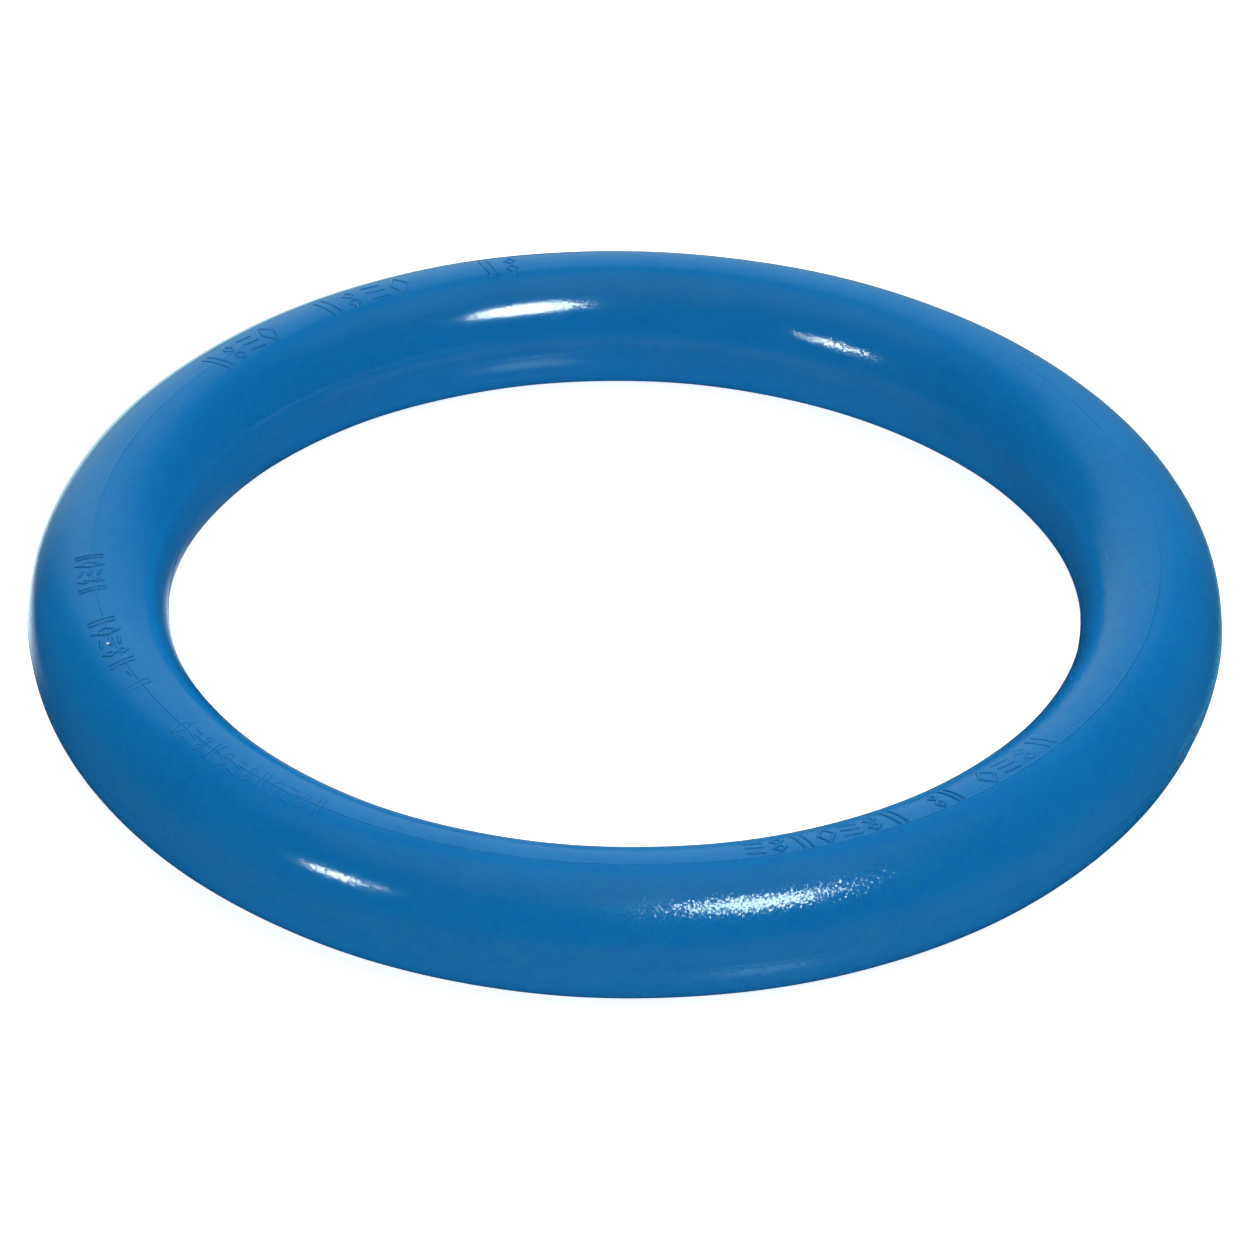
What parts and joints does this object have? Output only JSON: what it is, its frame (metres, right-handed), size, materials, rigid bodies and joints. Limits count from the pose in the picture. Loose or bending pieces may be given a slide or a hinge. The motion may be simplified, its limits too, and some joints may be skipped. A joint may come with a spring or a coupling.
{
  "type": "throwing ring",
  "caption": "Round-section hollow vinyl ring for juggling, throwing and catching, with moulded parting lines, raised marks and a small pull-out air valve plug.",
  "frame": {"origin": "centre of the ring, in the plane of the tube's centre line", "axes": "+Z along the ring's axis, towards the face with the raised marks; the ring lies flat in XY"},
  "size_m": [0.1702, 0.1702, 0.0202],
  "materials": {
    "ring_vinyl": "semi-gloss",
    "seat_vinyl": "semi-gloss",
    "core_rubber": "matt",
    "plug_vinyl": "semi-gloss"
  },
  "bodies": {
    "ring": {"ring_shell": "ring_vinyl", "valve_seat": "seat_vinyl", "valve_core": "core_rubber"},
    "plug": {"valve_plug": "plug_vinyl"}
  },
  "joints": [
    {"name": "plug_pull", "type": "slide", "parent": "ring", "child": "plug", "axis": [0.9171, -0.3668, -0.1564], "range_m": [0, 0.009]}
  ]
}
